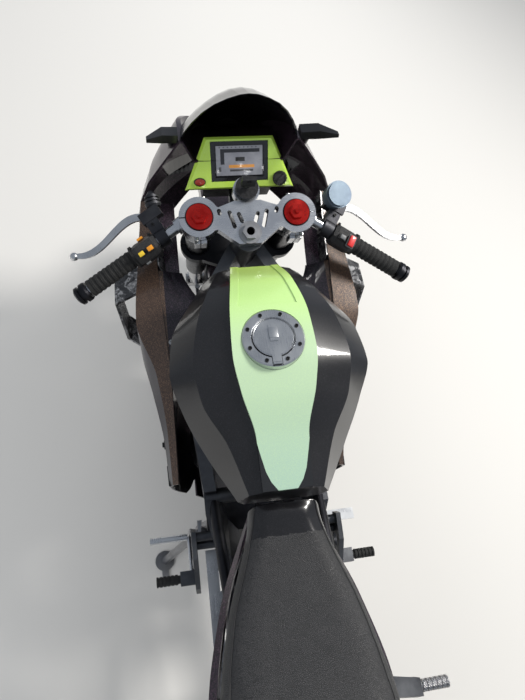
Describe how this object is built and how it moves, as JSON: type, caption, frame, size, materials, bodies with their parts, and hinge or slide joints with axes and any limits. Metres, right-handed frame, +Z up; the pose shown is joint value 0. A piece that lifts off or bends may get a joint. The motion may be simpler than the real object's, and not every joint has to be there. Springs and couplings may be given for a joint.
{
  "type": "sport bike",
  "caption": "Faired road sport motorcycle with clip-on bars, tall dark screen, faceted tank with a green centre panel, carbon winglets, parked on its side stand",
  "frame": {"origin": "middle of the footprint's box, on the ground, with the bike leaned on its side stand", "axes": "+Z up, +Y towards the front wheel, +X to the rider's right"},
  "size_m": [0.7016, 2.1239, 1.0885],
  "materials": {
    "tyre_rubber": "moulded rubber",
    "rubber_black": "ribbed rubber",
    "plastic_black": "grained black plastic",
    "bright_alloy": "machined and brushed",
    "dark_alloy": "cast, dark coated",
    "red_alloy": "red anodised",
    "steel": "ground steel",
    "black_paint": "gloss black with a dark purple flake",
    "green_paint": "gloss lime green to mint",
    "forged_carbon": "marbled moulded carbon fibre, clear coated",
    "vinyl": "grained black vinyl",
    "smoked_screen": "dark smoked screen",
    "lens": "clear lens",
    "red_lens": "red lens"
  },
  "bodies": {
    "chassis": {"belly_pan": "black_paint", "cockpit_panels": "forged_carbon", "dash_controls": "plastic_black", "dash_display": "lens", "dash_surround": "green_paint", "drive_chain": "steel", "engine": "dark_alloy", "engine_covers": "dark_alloy", "exhaust": "steel", "foot_levers": "bright_alloy", "footrest_brackets": "bright_alloy", "footrests": "rubber_black", "frame": "bright_alloy", "fuel_cap_ring": "bright_alloy", "fuel_tank": "black_paint", "headlamps": "lens", "mirrors": "black_paint", "nose_cowl": "black_paint", "pillion_seat": "vinyl", "radiator": "dark_alloy", "rear_axle": "steel", "rear_caliper": "dark_alloy", "rear_mudguard": "plastic_black", "rear_shock": "steel", "rider_seat": "vinyl", "side_fairings": "black_paint", "stand_bracket": "steel", "subframes": "dark_alloy", "swingarm": "bright_alloy", "tail_cowl": "black_paint", "tail_lamp": "red_lens", "tank_panel": "green_paint", "windscreen": "smoked_screen", "winglets": "forged_carbon"},
    "steering": {"fork_outer_tubes": "dark_alloy", "fork_inner_tubes": "bright_alloy", "fork_caps": "red_alloy", "top_clamp": "bright_alloy", "low_clamp": "bright_alloy", "stem_nut": "steel", "ignition_lock": "steel", "clip_ons": "bright_alloy", "grips": "rubber_black", "bar_ends": "bright_alloy", "switchgear": "plastic_black", "levers": "bright_alloy", "brake_reservoir": "dark_alloy", "lever_perches": "dark_alloy", "front_axle": "steel", "front_calipers": "dark_alloy", "front_mudguard": "black_paint"},
    "front_wheel": {"front_tyre": "tyre_rubber", "front_rim": "bright_alloy", "front_discs": "steel"},
    "rear_wheel": {"rear_tyre": "tyre_rubber", "rear_rim": "bright_alloy", "rear_disc": "steel", "rear_sprocket": "steel"},
    "side_stand": {"side_stand": "steel"},
    "fuel_lid": {"fuel_lid": "bright_alloy"}
  },
  "joints": [
    {"name": "steering", "type": "hinge", "parent": "chassis", "child": "steering", "pos_m": [0.08941, 0.72984, 0.28262], "axis": [-0.1586, -0.4067, 0.8997], "range_deg": [-27, 27]},
    {"name": "front_wheel", "type": "hinge", "parent": "steering", "child": "front_wheel", "pos_m": [0.08693, 0.762, 0.29672], "axis": [0.9848, 0, 0.1736], "continuous": true},
    {"name": "rear_wheel", "type": "hinge", "parent": "chassis", "child": "rear_wheel", "pos_m": [0.08484, -0.638, 0.30854], "axis": [0.9848, 0, 0.1736], "continuous": true},
    {"name": "side_stand", "type": "hinge", "parent": "chassis", "child": "side_stand", "pos_m": [-0.05223, 0.002, 0.2336], "axis": [-0.9554, 0.1496, 0.2545], "range_deg": [0, 82.66]},
    {"name": "fuel_lid", "type": "hinge", "parent": "chassis", "child": "fuel_lid", "pos_m": [-0.02629, 0.154, 0.93881], "axis": [0.9848, 0, 0.1736], "range_deg": [0, 100]}
  ]
}
